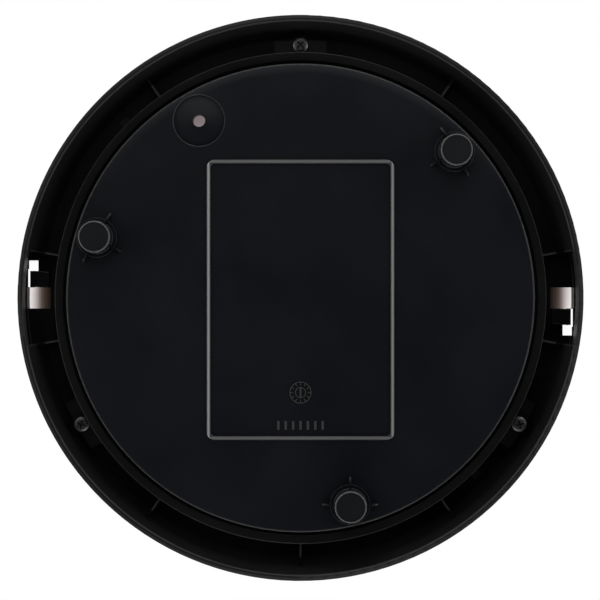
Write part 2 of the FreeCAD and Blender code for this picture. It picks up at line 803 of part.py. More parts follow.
def posts():
    """Three foot posts, each with a base ring, four gussets and a seat for its load cell."""
    pieces = []
    for step in FEET:
        angle = f"(foot_angle + {step})"
        x, y = polar(FOOT_CIRCLE, angle)
        pieces.append(place(foot_post(step), x, y))
        for quarter in range(4):
            turn = f"{angle} + gusset_turn + {90 * quarter}"
            reach = "gusset_reach" if quarter else "gusset_outer_reach"
            pieces.append(place(gusset(f"gusset_{step}_{quarter}", reach), x, y, turn=turn))
        block = box(f"seat_block_{step}", about(FOOT_CIRCLE, "cell_side / 2"), about("0", "cell_side / 2"),
                    (f"{COVER_TOP} - weld", "seat_top"), angle)
        limit = cylinder(f"seat_limit_{step}", "disc_radius - seat_inset", ("0", "seat_top + past"))
        seat = doc.addObject("Part::Common", f"seat_{step}")
        seat.Base = block
        seat.Tool = limit
        well = cylinder(f"seat_well_{step}", FRAME_BORE, (COVER_TOP, "seat_top + past"), x, y)
        pieces.append(cut(f"seat_ring_{step}", seat, [well]))
    return pieces


def foot_post(step):
    """The tube round a foot's stem: a post below the cover, a ring at its root and a guide above."""
    tip = "(pad_height + foot_gap)"
    ring_face = "(cover_face - post_ring_drop)"
    core = "(stem_radius - past)"
    return turned_solid(f"post_{step}", [
        (core, tip),
        (f"{POST_RADIUS} - post_edge", tip, "post_edge"),
        (POST_RADIUS, f"{tip} + post_edge"),
        (POST_RADIUS, f"{ring_face} - post_fillet", "-post_fillet"),
        (f"{POST_RADIUS} + post_fillet", ring_face),
        (f"{POST_RING} - post_edge", ring_face, "post_edge"),
        (POST_RING, f"{ring_face} + post_edge"),
        (POST_RING, "cover_face + past"),
        (POST_INNER, "cover_face + past"),
        (POST_INNER, "post_inner_top"),
        (core, "post_inner_top"),
    ])


def gusset(name, reach):
    """A triangular web between a post and the cover."""
    inside = f"{POST_RADIUS} - post_wall / 2"
    return web(name, [
        (inside, "gusset_low"),
        (f"{POST_RADIUS} + gusset_tip", "gusset_low"),
        (f"{POST_RADIUS} + {reach}", "cover_face - gusset_foot"),
        (f"{POST_RADIUS} + {reach}", "cover_face + weld"),
        (inside, "cover_face + weld"),
    ], "gusset_thick")


def standoffs():
    """Four posts under the circuit board."""
    return [
        cylinder(f"standoff_{number}", "standoff_radius", (f"{COVER_TOP} - weld", BOARD_LOW), x, y)
        for number, (x, y) in enumerate(BOARD_HOLES)
    ]


# ---------------------------------------------------------------- screws
def pan_screw(name, head, head_height, shank, length, seat):
    """A pan-head screw whose head hangs below the seat height, with a cross recess in its face."""
    face = f"{seat} - {head_height}"
    share = f"{head} / screw_head"
    blank = turned_solid(name + "_blank", [
        ("0", face),
        (f"{head} * screw_crown", face, f"{head} * screw_bow"),
        (head, f"{seat} - {head_height} * screw_edge"),
        (head, seat),
        (shank, seat),
        (shank, f"{seat} + {length} - {shank}"),
        ("0", f"{seat} + {length}"),
    ])
    z = (f"{face} - past", f"{face} + cross_depth * {share}")
    long, wide = f"cross_length / 2 * {share}", f"cross_width / 2 * {share}"
    cross = [
        box(name + "_cross_x", about("0", long), about("0", wide), z),
        box(name + "_cross_y", about("0", wide), about("0", long), z),
    ]
    return cut(name, blank, cross)


def cover_screws():
    keep(group("cover_screws", [
        place(pan_screw(f"cover_screw_{step}", "screw_head", "screw_head_height", "screw_shank",
                        "screw_length", LUG_LOW),
              *polar(SCREW_CIRCLE, f"(screw_angle + {step})"), turn=f"screw_angle + {step} + 45")
        for step in SCREWS
    ]), "cover_screws")


# ---------------------------------------------------------------- feet and load cells
def foot(number, step):
    """A rubber pad on a plunger that passes through its post and bears on the load cell's tongue."""
    x, y = polar(FOOT_CIRCLE, f"(foot_angle + {step})")
    ring = f"{PAD_RADIUS} - ring_inset"
    pad = turned_solid(f"foot_pad_{number}", [
        ("0", "0"),
        (f"{ring} - ring_width / 2", "0"),
        (f"{ring} - ring_width / 2", "ring_depth"),
        (f"{ring} + ring_width / 2", "ring_depth"),
        (f"{ring} + ring_width / 2", "0"),
        (f"{PAD_RADIUS} - pad_round", "0", "pad_round"),
        (PAD_RADIUS, "pad_round"),
        (PAD_RADIUS, "pad_height"),
        ("0", "pad_height"),
    ])
    keep(place(pad, x, y), f"foot_pad_{number}")
    flange = f"{POST_INNER} - stem_flange_inset"
    flange_low = "(post_inner_top + stem_flange_gap)"
    stem = turned_solid(f"foot_stem_{number}", [
        ("0", "pad_height"),
        ("stem_radius", "pad_height"),
        ("stem_radius", flange_low),
        (flange, flange_low),
        (flange, f"{flange_low} + stem_flange_thick"),
        ("stem_radius / 2", f"{flange_low} + stem_flange_thick"),
        ("stem_radius / 2", CELL_LOW),
        ("0", CELL_LOW),
    ])
    keep(place(stem, x, y), f"foot_stem_{number}")


def load_cell(number, step):
    """A steel plate with a tongue, in a plastic frame on the cover's seat.  Returns its strain gauge."""
    turn = f"foot_angle + {step}"
    x, y = polar(FOOT_CIRCLE, f"({turn})")
    square = rectangle(about("0", "cell_side / 2"), about("0", "cell_side / 2"))
    frame = plate(f"cell_frame_{number}_solid", [square], ("seat_top", CELL_LOW))
    opening = cylinder(f"cell_frame_{number}_bore", FRAME_BORE, ("seat_top - past", f"{CELL_LOW} + past"))
    keep(place(cut(f"cell_frame_{number}", frame, [opening]), x, y, turn=turn), f"cell_frame_{number}")
    tongue = "tongue_side / 2"
    slot_side = f"({tongue} + tongue_slot)"
    slot = [
        (f"-{slot_side}", f"-{slot_side}"), (slot_side, f"-{slot_side}"),
        (slot_side, slot_side), (tongue, slot_side), (tongue, f"-{tongue}"),
        (f"-{tongue}", f"-{tongue}"), (f"-{tongue}", slot_side), (f"-{slot_side}", slot_side),
    ]
    top = f"({CELL_LOW} + cell_thick)"
    steel = plate(f"load_cell_{number}", [square, slot], (CELL_LOW, top))
    keep(place(steel, x, y, turn=turn), f"load_cell_{number}")
    start = f"({slot_side} - gauge_lap)"
    foil = rectangle(about("0", "gauge_width / 2"), (start, f"{start} + gauge_length"))
    return place(plate(f"strain_gauge_{number}", [foil], (top, f"{top} + gauge_thick")), x, y, turn=turn)


# ---------------------------------------------------------------- platform and hooks
def hook_screw_place(angle):
    """Where the screw goes through a hook's flange, for a hook on one side of the platform."""
    turn = f"({angle} + hook_angle)"
    return (f"{HOOK_MIDDLE} * cos{turn} - hook_screw_out * sin{turn}",
            f"{HOOK_MIDDLE} * sin{turn} + hook_screw_out * cos{turn}")


def hook(side, angle):
    """A bayonet hook, its head under the gutter roof and its flange screwed to the carrier."""
    head_top = "(gutter_roof - hook_gap)"
    corner, edge = "hook_corner", "hook_half"
    head = plate(f"hook_head_{side}", [[
        (HOOK_INNER, f"-{edge} + {corner}"), (f"{HOOK_INNER} + {corner}", f"-{edge}"),
        (f"{HOOK_OUTER} - {corner}", f"-{edge}"), (HOOK_OUTER, f"-{edge} + {corner}"),
        (HOOK_OUTER, f"{edge} - {corner}"), (f"{HOOK_OUTER} - {corner}", edge),
        (f"{HOOK_INNER} + {corner}", edge), (HOOK_INNER, f"{edge} - {corner}"),
    ]], (f"{head_top} - hook_thick", head_top))
    round_low_edges(head, "hook_edge")
    stem = box(f"hook_stem_{side}", STEM_SPAN, about("0", "stem_half"),
               (f"{head_top} - weld", f"{CARRIER_LOW} - weld"))
    flange_low = f"({CARRIER_LOW} - hook_flange_thick)"
    flange = box(f"hook_flange_{side}", (f"{HOOK_INNER} + hook_flange_inset", HOOK_OUTER),
                 ("-stem_half", "hook_flange_reach"), (flange_low, CARRIER_LOW))
    hole = cylinder(f"hook_hole_{side}", "small_screw + small_screw_gap",
                    (f"{flange_low} - past", f"{CARRIER_LOW} + past"), HOOK_MIDDLE, "hook_screw_out")
    solid = fuse(f"hook_{side}_solid", [head, stem, flange])
    keep(place(cut(f"hook_{side}", solid, [hole]), turn=f"{angle} + hook_angle"), f"hook_{side}")
    screw = pan_screw(f"hook_screw_{side}", "hook_screw_head", "hook_screw_head_height", "small_screw",
                      "hook_screw_length", flange_low)
    return place(screw, *hook_screw_place(angle))


def platform():
    """Carrier, tape, film and glass, with the display's window through all but the glass."""
    carrier = turned_solid("carrier_disc", [
        ("0", CARRIER_LOW),
        (f"{CARRIER_RADIUS} - carrier_edge", CARRIER_LOW),
        (CARRIER_RADIUS, f"{CARRIER_LOW} + carrier_edge"),
        (CARRIER_RADIUS, CARRIER_TOP),
        ("0", CARRIER_TOP),
    ])
    cuts = [box("carrier_window", about("0", "view_width / 2 + window_margin"),
                about(DISPLAY_OUT, "view_height / 2 + window_margin"),
                (f"{CARRIER_LOW} - past", f"{CARRIER_TOP} + past"))]
    for side, angle in SIDES.items():
        tip = f"{CARRIER_LOW} - hook_flange_thick + hook_screw_length"
        cuts.append(cylinder(f"carrier_pilot_{side}", "small_screw", (f"{CARRIER_LOW} - past", tip),
                             *hook_screw_place(angle)))
    keep(cut("platform_carrier", carrier, cuts), "platform_carrier")
    tape_outer = f"({CARRIER_RADIUS} - tape_inset)"
    tape_inner = f"({tape_outer} - tape_width)"
    keep(turned_solid("bond_tape", [
        (tape_inner, CARRIER_TOP), (tape_outer, CARRIER_TOP), (tape_outer, TAPE_TOP), (tape_inner, TAPE_TOP),
    ]), "bond_tape")
    glass_radius = "(rim_radius - glass_inset)"
    film = cylinder("film_disc", f"{glass_radius} - film_inset", (TAPE_TOP, FILM_TOP))
    view = box("film_window", about("0", "view_width / 2"), about(DISPLAY_OUT, "view_height / 2"),
               (f"{TAPE_TOP} - past", f"{FILM_TOP} + past"))
    keep(cut("decor_film", film, [view]), "decor_film")
    keep(turned_solid("glass_platform", [
        ("0", FILM_TOP),
        (f"{glass_radius} - glass_chamfer", FILM_TOP),
        (glass_radius, f"{FILM_TOP} + glass_chamfer"),
        (glass_radius, f"{GLASS_TOP} - glass_chamfer"),
        (f"{glass_radius} - glass_chamfer", GLASS_TOP),
        ("0", GLASS_TOP),
    ]), "glass_platform")


# ---------------------------------------------------------------- button
def unit_button():
    """The button in the dished recess, kept in by its flange, with its tip just short of the switch."""
    flange_low = "(guide_top + flange_gap)"
    flange_top = f"({flange_low} + flange_thick)"
    tip = f"{SWITCH_LOW} - plunger_height - press_gap"
    button = turned_solid("unit_button", [
        ("0", "button_face"),
        ("button_radius - button_edge", "button_face", "button_edge"),
        ("button_radius", "button_face + button_edge"),
        ("button_radius", flange_low),
        ("button_radius + button_flange", flange_low),
        ("button_radius + button_flange", flange_top),
        ("button_tip", flange_top),
        ("button_tip", tip),
        ("0", tip),
    ])
    keep(place(button, *DISH), "unit_button")


# ---------------------------------------------------------------- electronics
def electronics():
    """The circuit board and what is fastened to it."""
    board = box("board_solid", BOARD_X, BOARD_Y, (BOARD_LOW, BOARD_TOP))
    holes, screws = [], []
    for number, (x, y) in enumerate(BOARD_HOLES):
        holes.append(cylinder(f"board_hole_{number}", "small_screw + small_screw_gap",
                              (f"{BOARD_LOW} - past", f"{BOARD_TOP} + past"), x, y))
        screws.append(fuse(f"board_screw_{number}", [
            cylinder(f"board_shank_{number}", "small_screw",
                     (f"{BOARD_LOW} - board_screw_length", BOARD_TOP), x, y),
            cylinder(f"board_head_{number}", "board_screw_head",
                     (BOARD_TOP, f"{BOARD_TOP} + board_screw_height"), x, y),
        ]))
    keep(cut("main_pcb", board, holes), "main_pcb")
    keep(group("board_screws", screws), "board_screws")
    case = box("switch_case", about(DISH[0], "switch_side / 2"), about(DISH[1], "switch_side / 2"),
               (SWITCH_LOW, BOARD_LOW))
    plunger = cylinder("switch_plunger", "plunger_radius",
                       (f"{SWITCH_LOW} - plunger_height", f"{SWITCH_LOW} + weld"), *DISH)
    keep(fuse("unit_switch", [case, plunger]), "unit_switch")
    for name, (x, y, tall) in CHIPS.items():
        along = [f"{BEZEL_HALF} + {end}" for end in x]
        across = [f"{DISPLAY_OUT} + {end}" for end in y]
        keep(box(name, along, across, (BOARD_TOP, f"{BOARD_TOP} + {tall}")), name)
    keep(group("capacitors", [
        cylinder(f"capacitor_{number}", "capacitor_radius", (BOARD_TOP, f"{BOARD_TOP} + capacitor_height"),
                 f"{BEZEL_HALF} + capacitor_out",
                 f"{DISPLAY_OUT} - capacitor_start + capacitor_pitch * {number}")
        for number in range(3)
    ]), "capacitors")
    socket_y = (f"{BOARD_Y[0]} + socket_inset", f"{BOARD_Y[0]} + socket_inset + socket_depth")
    keep(group("cable_sockets", [
        box(f"socket_{number}", about(str(x), "socket_width / 2"), socket_y,
            (f"{BOARD_LOW} - socket_height", BOARD_LOW))
        for number, x in enumerate(SOCKETS)
    ]), "cable_sockets")


def display_block(name, grow, z):
    """A block over the display's panel, larger than it by a margin on every side."""
    x = about("0", f"{PANEL_HALF[0]} + {grow}")
    return box(name, x, about(DISPLAY_OUT, f"{PANEL_HALF[1]} + {grow}"), z)


def display():
    """Backlight, liquid-crystal panel and bezel, stacked between the circuit board and the carrier."""
    front, back = PANEL_Y
    light_y = (f"{front} + light_front", f"{back} - light_inset")
    strip_y = (f"{front} + light_inset", f"{front} + light_inset + strip_depth")
    keep(box("backlight", about("0", f"{PANEL_HALF[0]} - light_inset"), light_y,
             (f"{BOARD_TOP} + light_gap", PANEL_LOW)), "backlight")
    keep(box("contact_strip", about("0", f"{PANEL_HALF[0]} - strip_inset"), strip_y,
             (BOARD_TOP, PANEL_LOW)), "contact_strip")
    keep(display_block("lcd_panel", "0", (PANEL_LOW, PANEL_TOP)), "lcd_panel")
    bezel_top = f"{PANEL_TOP} + bezel_lip"
    keep(cut("display_bezel", display_block("bezel_block", "bezel_wall", (BOARD_TOP, bezel_top)), [
        display_block("bezel_pocket", "panel_gap", (f"{BOARD_TOP} - past", PANEL_TOP)),
        display_block("bezel_window", "(-bezel_lap)", (f"{BOARD_TOP} - past", f"{bezel_top} + past")),
    ]), "display_bezel")


# ---------------------------------------------------------------- battery holder
def battery_compartment():
    """An open holder with its cells side by side and a contact at each end of each."""
    pitch = "(2 * battery_radius + battery_space)"
    half_x = "(battery_length / 2 + contact_room)"
    half_y = f"({pitch} * {BATTERY_COUNT / 2} + side_play)"
    low = f"({COVER_TOP} + holder_floor)"
    axis = f"({low} + battery_radius + battery_play)"
    top = f"({axis} + battery_radius)"
    outer = box("holder_block", about("0", f"{half_x} + holder_wall"),
                about("holder_out", f"{half_y} + holder_wall"), (COVER_TOP, top))
    hollow = box("holder_hollow", about("0", half_x), about("holder_out", half_y), (low, f"{top} + past"))
    keep(cut("battery_holder", outer, [hollow]), "battery_holder")
    cells, contacts = [], []
    for number in range(BATTERY_COUNT):
        y = f"holder_out + {pitch} * {number - (BATTERY_COUNT - 1) / 2}"
        can = cylinder(f"cell_can_{number}", "battery_radius", ("0", "battery_length - nub_height"))
        nub = cylinder(f"cell_nub_{number}", "nub_radius",
                       ("battery_length - nub_height - weld", "battery_length"))
        cell = fuse(f"battery_{number}", [can, nub])
        flipped = number % 2
        cell.Placement = Placement(Vector(), Rotation(Vector(0, 1, 0), 90 if flipped else -90))
        cells.append(place(cell, f"{'-' if flipped else ''}battery_length / 2", y, axis))
        for end, sign in (("near", "-"), ("far", "")):
            wall = sorted([f"{sign}{half_x}", f"{sign}({half_x} - contact_thick)"], key=value)
            tip = sorted([f"{sign}battery_length / 2", f"{sign}{half_x}"], key=value)
            contacts.append(fuse(f"contact_{end}_{number}", [
                box(f"contact_leaf_{end}_{number}", wall, about(y, "contact_half"),
                    (low, f"{axis} + contact_half")),
                box(f"contact_tip_{end}_{number}", tip, about(y, "spring_half"),
                    about(axis, "spring_half")),
            ]))
    keep(group("batteries", cells), "batteries")
    keep(group("battery_contacts", contacts), "battery_contacts")
    return f"holder_out + {half_y} + holder_wall"


# ---------------------------------------------------------------- cables
def cable(name, corners):
    """A cable at one height, its bends each taking up to a share of the runs beside them."""
    height = value(f"{CELL_LOW} + cable_lift")
    points = [Vector(value(x), value(y), height) for x, y in corners]
    edges, last = [], points[0]
    for before, corner, after in zip(points, points[1:], points[2:]):
        way_in, way_out = (corner - before).normalize(), (after - corner).normalize()
        reach = CABLE_BEND * min((corner - before).Length, (after - corner).Length)
        start, end = corner - way_in * reach, corner + way_out * reach
        turn = way_in.getAngle(way_out)
        radius = reach / math.tan(turn / 2)
        to_centre = (way_out - way_in).normalize() * (radius / math.cos(turn / 2))
        middle = corner + to_centre - to_centre.normalize() * radius
        edges += [Part.LineSegment(last, start).toShape(), Part.Arc(start, middle, end).toShape()]
        last = end
    edges.append(Part.LineSegment(last, points[-1]).toShape())
    path = Part.Wire(edges)
    section = Part.Wire(Part.makeCircle(value("cable_radius"), points[0], points[1] - points[0]))
    shape = path.makePipeShell([section], True, True)
    item = doc.addObject("Part::Feature", name)
    item.Shape = shape
    expected = math.pi * value("cable_radius") ** 2 * path.Length
    if abs(shape.Volume - expected) > 0.01 * expected:
        raise ValueError(f"{name} has volume {shape.Volume}, not {expected}")
    keep(item, name)


def cables(holder_edge):
    """Three sensor cables and the battery lead, each running into its own socket on the board."""
    mouth = f"{BOARD_Y[0]} + socket_inset"
    plate_edge = f"({FOOT_CIRCLE} - cell_side / 2)"
    first, second, third = (
        [polar(radius, f"(foot_angle + {step})") for radius in (plate_edge, f"{plate_edge} - cable_start")]
        for step in FEET
    )
    ends = [(str(x), mouth) for x in SOCKETS]
    cable("sensor_cable_1", first + [("54", "30"), (ends[3][0], "46"), ends[3]])
    cable("sensor_cable_2", second + [("-40", "44"), (ends[0][0], "54"), ends[0]])
    cable("sensor_cable_3", third + [("-30", "-46"), ("-40", "-16"), ("-37", "14"), ("-30", "38"),
                                     (ends[1][0], "50"), ends[1]])
    cable("battery_lead", [("12", holder_edge), ("12", "42"), (ends[2][0], "54"), ends[2]])


# ---------------------------------------------------------------- build
def build():
    outer_shell()
    bottom_cover()
    cover_screws()
    for side, angle in SIDES.items():
        slot_bumper(side, angle)
    gauges = []
    for number, step in enumerate(FEET, start=1):
        foot(number, step)
        gauges.append(load_cell(number, step))
    keep(group("strain_gauges", gauges), "strain_gauges")
    unit_button()
    electronics()
    display()
    cables(battery_compartment())
    platform()
    keep(group("hook_screws", [hook(side, angle) for side, angle in SIDES.items()]), "hook_screws")
    doc.recompute()


def write():
    """Check every object, then write one STEP file for each sub-part."""
    failed = [item.Name for item in doc.Objects if {"Invalid", "Error"} & set(item.State)]
    if failed:
        raise ValueError(f"objects failed: {failed}")
    os.makedirs("parts", exist_ok=True)
    for item in SUBPARTS:
        if item.Shape.isNull() or not item.Shape.isValid():
            raise ValueError(f"{item.Label} has no valid shape")
    for item in SUBPARTS:
        item.Shape.exportStep(f"parts/{item.Label}.step")
        print(f"{item.Label:20s} {len(item.Shape.Solids)} solid(s) {item.Shape.Volume / 1000:9.3f} cm3")


build()
write()
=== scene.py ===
import json
import math

import bpy
import numpy
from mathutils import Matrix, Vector

# A round digital bathroom scale, seen from straight below.  Metres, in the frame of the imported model.
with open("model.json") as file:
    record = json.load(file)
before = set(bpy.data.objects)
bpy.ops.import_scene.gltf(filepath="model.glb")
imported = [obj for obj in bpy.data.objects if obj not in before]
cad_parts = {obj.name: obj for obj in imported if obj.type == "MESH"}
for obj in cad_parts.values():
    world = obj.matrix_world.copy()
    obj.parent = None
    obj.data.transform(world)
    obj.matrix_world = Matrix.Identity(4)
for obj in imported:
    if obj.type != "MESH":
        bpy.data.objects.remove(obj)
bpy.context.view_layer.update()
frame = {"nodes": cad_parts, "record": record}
NODES = frame["nodes"]
MM = 0.001


# ---------------------------------------------------------------- node helpers
def new_material(name):
    """A material with an empty principled shader, and its node tree."""
    material = bpy.data.materials.new(name)
    material.use_nodes = True
    shader = material.node_tree.nodes["Principled BSDF"]
    return material, material.node_tree, shader


def place_in_object(tree, scale=(1, 1, 1)):
    """Object coordinates, stretched: the row frame, in metres."""
    coordinates = tree.nodes.new("ShaderNodeTexCoord")
    mapping = tree.nodes.new("ShaderNodeMapping")
    mapping.inputs["Scale"].default_value = scale
    tree.links.new(coordinates.outputs["Object"], mapping.inputs["Vector"])
    return mapping.outputs["Vector"]


def noise(tree, where, scale, detail=3.0):
    """Cloudy noise from 0 to 1."""
    texture = tree.nodes.new("ShaderNodeTexNoise")
    texture.inputs["Scale"].default_value = scale
    texture.inputs["Detail"].default_value = detail
    texture.inputs["Roughness"].default_value = 0.55
    tree.links.new(where, texture.inputs["Vector"])
    return texture.outputs["Fac"]


def ramp(tree, factor, stops):
    """A colour ramp with (position, colour) stops."""
    node = tree.nodes.new("ShaderNodeValToRGB")
    elements = node.color_ramp.elements
    while len(elements) < len(stops):
        elements.new(0.5)
    for element, (position, colour) in zip(elements, stops):
        element.position = position
        element.color = (*colour, 1)
    tree.links.new(factor, node.inputs["Fac"])
    return node.outputs["Color"]


def between(tree, factor, low, high, start=0.0, end=1.0):
    """A number that goes from low to high as the factor goes from start to end."""
    node = tree.nodes.new("ShaderNodeMapRange")
    for name, number in (("From Min", start), ("From Max", end), ("To Min", low), ("To Max", high)):
        node.inputs[name].default_value = number
    tree.links.new(factor, node.inputs["Value"])
    return node.outputs["Result"]


def bump(tree, shader, height, strength, depth):
    """Raise the shader's surface by a height map, up to a depth in metres."""
    node = tree.nodes.new("ShaderNodeBump")
    node.inputs["Strength"].default_value = strength
    node.inputs["Distance"].default_value = depth
    tree.links.new(height, node.inputs["Height"])
    tree.links.new(node.outputs["Normal"], shader.inputs["Normal"])


def calculate(tree, operation, first, second=0.0):
    """One step of arithmetic on a socket, with another socket or a number."""
    node = tree.nodes.new("ShaderNodeMath")
    node.operation = operation
    tree.links.new(first, node.inputs[0])
    if isinstance(second, (int, float)):
        node.inputs[1].default_value = second
    else:
        tree.links.new(second, node.inputs[1])
    return node.outputs["Value"]


def split_axes(tree, where):
    """The X, Y and Z of a place."""
    node = tree.nodes.new("ShaderNodeSeparateXYZ")
    tree.links.new(where, node.inputs["Vector"])
    return node.outputs["X"], node.outputs["Y"], node.outputs["Z"]


def distance_from(tree, where, centre=(0, 0)):
    """Distance across the disc from an upright line through a point given in millimetres."""
    flat = tree.nodes.new("ShaderNodeVectorMath")
    flat.operation = "MULTIPLY_ADD"
    flat.inputs[1].default_value = (1, 1, 0)
    flat.inputs[2].default_value = (-centre[0] * MM, -centre[1] * MM, 0)
    tree.links.new(where, flat.inputs[0])
    length = tree.nodes.new("ShaderNodeVectorMath")
    length.operation = "LENGTH"
    tree.links.new(flat.outputs["Vector"], length.inputs[0])
    return length.outputs["Value"]


def line(tree, factor, middle, half):
    """A mask that is 1 at the middle and falls to 0 at half a width from it, in millimetres."""
    off = calculate(tree, "ABSOLUTE", calculate(tree, "SUBTRACT", factor, middle * MM))
    return between(tree, off, 1, 0, half * 0.4 * MM, half * MM)


def within(tree, factor, low, high):
    """A mask that is 1 between two numbers of millimetres."""
    return calculate(tree, "MULTIPLY", calculate(tree, "GREATER_THAN", factor, low * MM),
                     calculate(tree, "LESS_THAN", factor, high * MM))


def tint(tree, colours, mask, colour):
    """Colours with another colour laid over them where the mask says."""
    node = tree.nodes.new("ShaderNodeMix")
    node.data_type = "RGBA"
    tree.links.new(mask, node.inputs["Factor"])
    tree.links.new(colours, node.inputs[6])
    node.inputs[7].default_value = (*colour, 1)
    return node.outputs[2]


def grey(level):
    """A neutral colour."""
    return (level, level, level)


def shade(colour, factor):
    """A colour made darker or lighter, and never past white."""
    return tuple(min(1.0, channel * factor) for channel in colour)


BLOTCH = 22
STREAK = (60, 2200, 60)


def moulded(name, colour, roughness, grain=1800, depth=0.02, mottle=0.05, specular=0.5, marks=()):
    """Moulded plastic or rubber: fine grain, slow changes of tone and gloss, and marks that paint highlights,
    shade and reflections.
    """
    material, tree, shader = new_material(name)
    where = place_in_object(tree)
    slow = noise(tree, where, BLOTCH, detail=4)
    colours = ramp(tree, slow, [(0.3, shade(colour, 1 - mottle)), (0.7, shade(colour, 1 + mottle))])
    for mask, mark in marks:
        colours = tint(tree, colours, mask(tree, where), mark)
    tree.links.new(colours, shader.inputs["Base Color"])
    gloss = between(tree, slow, roughness - 0.05, roughness + 0.05, 0.3, 0.7)
    tree.links.new(gloss, shader.inputs["Roughness"])
    shader.inputs["Specular IOR Level"].default_value = specular
    bump(tree, shader, noise(tree, where, grain, detail=2), 0.35, depth * MM)
    return material


def brushed(name, colour, roughness=0.32, marks=()):
    """Metal with fine streaks and marks that paint highlights."""
    material, tree, shader = new_material(name)
    lines = noise(tree, place_in_object(tree, STREAK), 1.0, detail=4)
    colours = ramp(tree, lines, [(0.3, shade(colour, 0.75)), (0.7, colour)])
    for mask, mark in marks:
        colours = tint(tree, colours, mask(tree, place_in_object(tree)), mark)
    tree.links.new(colours, shader.inputs["Base Color"])
    tree.links.new(between(tree, lines, roughness - 0.08, roughness + 0.1), shader.inputs["Roughness"])
    shader.inputs["Metallic"].default_value = 1.0
    bump(tree, shader, lines, 0.2, 0.01 * MM)
    return material


# ---------------------------------------------------------------- materials that need more
# Strength of the painted glow on pale pieces.
PAINTED_GLOW_STRENGTH = 0.95
# Painted shade on the pale carrier, from dark inwards to white outwards across this reach of |x| in metres.
CARRIER_SHADE_REACH = (0.132, 0.1468)
CARRIER_PAINTED_SHADE_STOPS = (
    (0.22, (0.006, 0.004, 0.003)),
    (0.43, (0.040, 0.028, 0.023)),
    (0.55, (0.085, 0.064, 0.054)),
    (0.64, (0.19, 0.155, 0.145)),
    (0.72, (0.36, 0.32, 0.305)),
    (0.82, (0.56, 0.51, 0.50)),
    (0.94, (0.76, 0.70, 0.69)),
    (1.0, (0.9, 0.86, 0.86)),
)


def painted_glow(material, colour=(1, 1, 1), strength=PAINTED_GLOW_STRENGTH):
    """Add a painted glow to a pale piece: an emission that stands in for light from above, though the piece
    is no lamp.
    """
    shader = material.node_tree.nodes["Principled BSDF"]
    shader.inputs["Emission Color"].default_value = (*colour, 1)
    shader.inputs["Emission Strength"].default_value = strength
    return material


def pale_carrier_with_painted_shade():
    """Pale plastic with painted shade, darker inwards and white at the outer edge, and a painted glow in the
    same colours.
    """
    material, tree, shader = new_material("pale_plastic")
    where = place_in_object(tree)
    outward = calculate(tree, "ABSOLUTE", split_axes(tree, where)[0])
    colours = ramp(tree, between(tree, outward, 0, 1, *CARRIER_SHADE_REACH), CARRIER_PAINTED_SHADE_STOPS)
    tree.links.new(colours, shader.inputs["Base Color"])
    tree.links.new(colours, shader.inputs["Emission Color"])
    shader.inputs["Emission Strength"].default_value = PAINTED_GLOW_STRENGTH
    slow = noise(tree, where, 40, detail=4)
    tree.links.new(between(tree, slow, 0.45, 0.6), shader.inputs["Roughness"])
    bump(tree, shader, noise(tree, where, 1500), 0.2, 0.02 * MM)
    return material


def clear_glass():
    """Clear glass with a trace of green, and slow changes of polish."""
    material, tree, shader = new_material("platform_glass")
    shader.inputs["Base Color"].default_value = (0.93, 0.985, 0.965, 1)
    shader.inputs["Transmission Weight"].default_value = 1.0
    shader.inputs["IOR"].default_value = 1.5
    slow = noise(tree, place_in_object(tree), 30, detail=2)
    tree.links.new(between(tree, slow, 0.0, 0.02), shader.inputs["Roughness"])
    return material


DISPLAY_Y = 88.0
DIGIT_PITCH = 13.0
UPRIGHT = (2.9, 4.5)
UPRIGHT_END = (0.6, 7.6)
MIDDLE_HALF = 0.8
END_BAR = (7.0, 8.6)
BAR_HALF = 2.6


def segments(tree, where):
    """The segments of four digits, side by side across the display."""
    across, along, _ = split_axes(tree, where)
    half_pitch = DIGIT_PITCH / 2 * MM
    from_digit = calculate(tree, "SUBTRACT", calculate(tree, "PINGPONG", across, half_pitch), half_pitch)
    side = calculate(tree, "ABSOLUTE", from_digit)
    up = calculate(tree, "ABSOLUTE", calculate(tree, "SUBTRACT", along, DISPLAY_Y * MM))
    upright = calculate(tree, "MULTIPLY", within(tree, side, *UPRIGHT), within(tree, up, *UPRIGHT_END))
    level = calculate(tree, "ADD", within(tree, up, -1, MIDDLE_HALF), within(tree, up, *END_BAR))
    level = calculate(tree, "MULTIPLY", level, within(tree, side, -1, BAR_HALF))
    digits = within(tree, across, -2 * DIGIT_PITCH, 2 * DIGIT_PITCH)
    return calculate(tree, "MULTIPLY", calculate(tree, "ADD", upright, level), digits)


def liquid_crystal():
    """Grey-green display glass with its unlit segments faintly showing."""
    material, tree, shader = new_material("lcd_glass")
    where = place_in_object(tree)
    slow = noise(tree, where, 60)
    colours = ramp(tree, slow, [(0.3, (0.20, 0.26, 0.20)), (0.7, (0.24, 0.30, 0.23))])
    colours = tint(tree, colours, segments(tree, where), (0.13, 0.17, 0.13))
    tree.links.new(colours, shader.inputs["Base Color"])
    shader.inputs["Roughness"].default_value = 0.15
    shader.inputs["Coat Weight"].default_value = 0.5
    return material


def circuit_board():
    """Green solder mask over a fine mesh of copper tracks."""
    material, tree, shader = new_material("board")
    where = place_in_object(tree)
    tracks = tree.nodes.new("ShaderNodeTexBrick")
    tracks.inputs["Scale"].default_value = 260
    tracks.inputs["Mortar Size"].default_value = 0.012
    tracks.inputs["Color1"].default_value = (0.012, 0.12, 0.045, 1)
    tracks.inputs["Color2"].default_value = (0.02, 0.16, 0.06, 1)
    tracks.inputs["Mortar"].default_value = (0.03, 0.26, 0.1, 1)
    tree.links.new(where, tracks.inputs["Vector"])
    tree.links.new(tracks.outputs["Color"], shader.inputs["Base Color"])
    shader.inputs["Roughness"].default_value = 0.3
    bump(tree, shader, tracks.outputs["Fac"], 0.3, 0.03 * MM)
    return material


